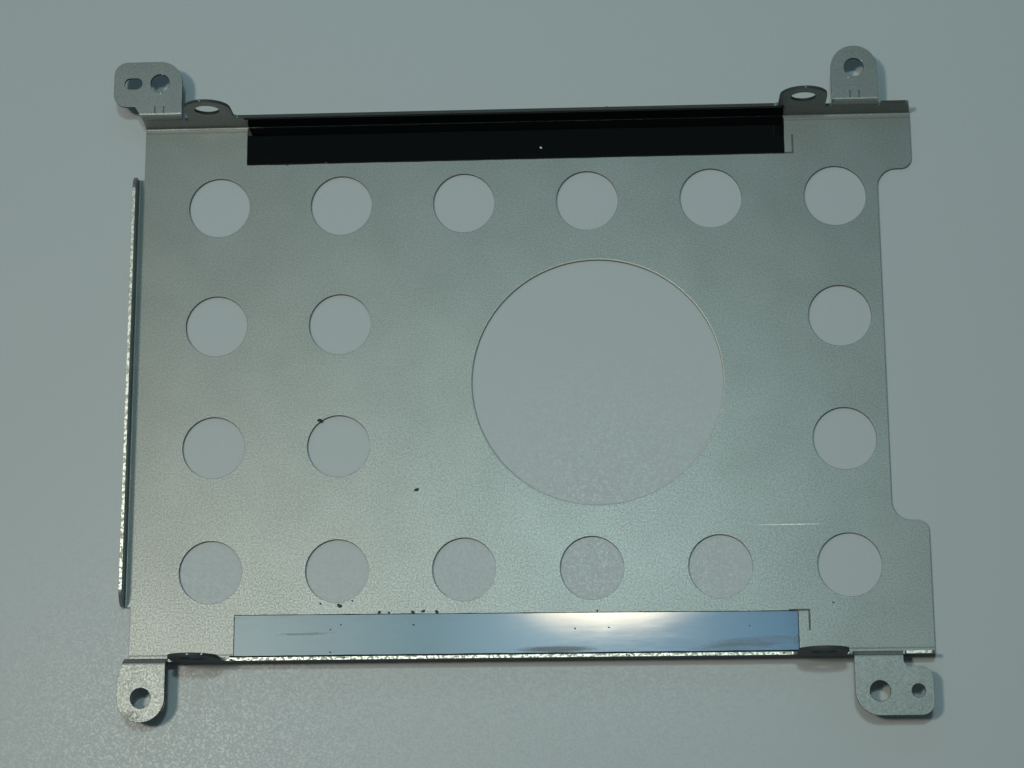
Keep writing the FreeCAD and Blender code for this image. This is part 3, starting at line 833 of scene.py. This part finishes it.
# Lamps: place, width and depth, and the point that each faces, in metres
KEY_PLACE, KEY_SIZE, KEY_AIM = (-0.140, -0.018, 0.490), (0.040, 0.040), (0, 0, 0)
FILL_PLACE, FILL_SIZE, FILL_AIM = (0.012, 0.054, 0.500), (0.028, 0.018), (0.012, 0.054, 0)
WINDOW_PLACE, WINDOW_SIZE, WINDOW_AIM = (-0.030, 0.205, 0.235), (0.260, 0.110), (0, 0, 0)
STRIP_PLACE, STRIP_SIZE, STRIP_AIM = (-0.025, 0.0265, 0.500), (0.210, 0.031), (-0.025, 0.0265, 0)
BULB_PLACE, BULB_SIZE, BULB_AIM = (0.008, 0.044, 0.498), (0.082, 0.036), (0.008, 0.044, 0)

# Colour along the strip from its left end, and across the bulb from its middle: share of the way and colour
STRIP_COLOURS = ((0.04, "#CCE4E4"), (0.36, "#A0C6D2"), (0.55, "#BAE4F8"), (0.97, "#80AECC"))
BULB_COLOURS = ((0.55, "#FFFFFF"), (0.75, "#909090"), (1.0, "#000000"))


def hang_lamps(look):
    """Warm key lamp at the left, cool fill lamp and long strip overhead, a soft bulb beside the strip, and a
    broad cool lamp low at the far side."""
    lamps = (
        ("key_lamp", KEY_PLACE, KEY_SIZE, KEY_AIM, look.key, look.key_power),
        ("fill_lamp", FILL_PLACE, FILL_SIZE, FILL_AIM, look.fill, look.fill_power),
        ("window_lamp", WINDOW_PLACE, WINDOW_SIZE, WINDOW_AIM, look.window, look.window_power),
        ("strip_lamp", STRIP_PLACE, STRIP_SIZE, STRIP_AIM, (1, 1, 1, 1), look.strip_power),
        ("soft_bulb", BULB_PLACE, BULB_SIZE, BULB_AIM, look.bulb, look.bulb_power),
    )
    for name, place, size, aim, colour, power in lamps:
        light = bpy.data.lights.new(name, "AREA")
        light.shape = "RECTANGLE"
        light.size, light.size_y = size
        light.color = colour[:3]
        light.energy = power
        lamp = bpy.data.objects.new(name, light)
        sight = Vector(aim) - Vector(place)
        lamp.matrix_world = Matrix.Translation(place) @ sight.to_track_quat("-Z", "Y").to_matrix().to_4x4()
        bpy.context.scene.collection.objects.link(lamp)
    shade_lamp(bpy.data.lights["strip_lamp"], STRIP_COLOURS, along_strip)
    shade_lamp(bpy.data.lights["soft_bulb"], BULB_COLOURS, across_bulb)
    light_surroundings(look)


def along_strip(tree, place):
    """Share of the way along a lamp."""
    return add_node(tree, "ShaderNodeSeparateXYZ", inputs={"Vector": place}).outputs["X"]


def across_bulb(tree, place):
    """Share of the way from a lamp's middle to its edge."""
    offset = add_node(tree, "ShaderNodeVectorMath", {"operation": "MULTIPLY_ADD"}, {
        0: place, 1: (2, 2, 0), 2: (-1, -1, 0)}).outputs["Vector"]
    return add_node(tree, "ShaderNodeVectorMath", {"operation": "LENGTH"}, {0: offset}).outputs["Value"]


def shade_lamp(light, colours, share):
    """Run colours over a lamp's face, by a share of the way over it."""
    light.use_nodes = True
    tree = light.node_tree
    tree.nodes.clear()
    place = add_node(tree, "ShaderNodeNewGeometry").outputs["Parametric"]
    ramp = add_node(tree, "ShaderNodeValToRGB", inputs={"Fac": share(tree, place)})
    stops = ramp.color_ramp.elements
    for position, _ in colours[1:-1]:
        stops.new(position)
    for stop, (position, code) in zip(stops, colours):
        stop.position, stop.color = position, linear(code)
    glow = add_node(tree, "ShaderNodeEmission", inputs={"Color": ramp.outputs["Color"]})
    add_node(tree, "ShaderNodeOutputLight", inputs={"Surface": glow.outputs["Emission"]})


# Heights over the horizon, as shares of straight up, at which its light is full and at which it ends
HORIZON_FULL, HORIZON_END = 0.1, 0.35


def light_surroundings(look):
    """Dim ceiling and horizon, and an even backdrop for the camera, which metal mirrors near the horizon."""
    world = bpy.data.worlds.new("dim_surroundings")
    world.use_nodes = True
    tree = world.node_tree
    tree.nodes.clear()
    sight = add_node(tree, "ShaderNodeTexCoord").outputs["Object"]
    height = add_node(tree, "ShaderNodeSeparateXYZ", inputs={"Vector": sight}).outputs["Z"]
    low = add_node(tree, "ShaderNodeMapRange", {"interpolation_type": "SMOOTHSTEP"}, {
        "Value": height, "From Min": HORIZON_END, "From Max": HORIZON_FULL}).outputs["Result"]
    level = add_node(tree, "ShaderNodeMapRange", inputs={
        "Value": low, "To Min": look.world_strength, "To Max": look.horizon_strength}).outputs["Result"]
    light = add_node(tree, "ShaderNodeBackground", inputs={"Color": look.world, "Strength": level})
    backdrop = add_node(tree, "ShaderNodeBackground", inputs={"Color": look.backdrop})
    rays = add_node(tree, "ShaderNodeLightPath").outputs
    seen = union(tree, rays["Is Camera Ray"], overlap(tree, rays["Is Glossy Ray"], low))
    both = add_node(tree, "ShaderNodeMixShader", inputs={
        0: seen, 1: light.outputs["Background"], 2: backdrop.outputs["Background"]})
    add_node(tree, "ShaderNodeOutputWorld", inputs={"Surface": both.outputs["Shader"]})
    bpy.context.scene.world = world


# Camera: place in metres, line of sight, upward direction, sensor width in millimetres, and the nearest
# distance seen in metres
CAMERA_PLACE = Vector((0.01333, -0.06521, 0.27688))
CAMERA_SIGHT = Vector((-0.04709, 0.22834, -0.97244))
CAMERA_UP = Vector((0.01668, 0.97357, 0.22780))
SENSOR_WIDTH, CLIP_START = 36.0, 0.01


def set_camera(look):
    """Camera at the photograph's place and angle."""
    back = -CAMERA_SIGHT.normalized()
    right = CAMERA_UP.cross(back).normalized()
    turn = Matrix((right, back.cross(right), back)).transposed()
    lens = bpy.data.cameras.new("photo_camera")
    lens.sensor_fit = "HORIZONTAL"
    lens.sensor_width = SENSOR_WIDTH
    lens.lens = look.lens
    lens.clip_start = CLIP_START
    camera = bpy.data.objects.new("photo_camera", lens)
    camera.matrix_world = Matrix.Translation(CAMERA_PLACE) @ turn.to_4x4()
    bpy.context.scene.collection.objects.link(camera)
    bpy.context.scene.camera = camera


class CADDY_PT_sidebar(bpy.types.Panel):
    """Steps that dress the caddy"""

    bl_label = "Hard Drive Caddy"
    bl_space_type = "VIEW_3D"
    bl_region_type = "UI"
    bl_category = "Caddy"

    def draw(self, context):
        for step in OPERATORS:
            self.layout.operator(step.bl_idname)


LOOKS = {"caddy_steel": SteelLook, "caddy_film": FilmLook, "caddy_dirt": DirtLook, "caddy_stage": StageLook}
OPERATORS = (CADDY_OT_finish_tray, CADDY_OT_raise_burrs, CADDY_OT_finish_films, CADDY_OT_run_adhesive,
             CADDY_OT_scatter_dirt, CADDY_OT_set_stage)
CLASSES = (*LOOKS.values(), *OPERATORS, CADDY_PT_sidebar)


def register():
    for made in CLASSES:
        bpy.utils.register_class(made)
    for name, group in LOOKS.items():
        setattr(bpy.types.Scene, name, PointerProperty(type=group))


def unregister():
    for name in LOOKS:
        delattr(bpy.types.Scene, name)
    for made in reversed(CLASSES):
        bpy.utils.unregister_class(made)


def main():
    register()
    bpy.ops.caddy.finish_tray()
    bpy.ops.caddy.raise_burrs()
    bpy.ops.caddy.finish_films()
    bpy.ops.caddy.run_adhesive()
    bpy.ops.caddy.scatter_dirt()
    bpy.ops.caddy.set_stage()


if __name__ == "__main__":
    main()
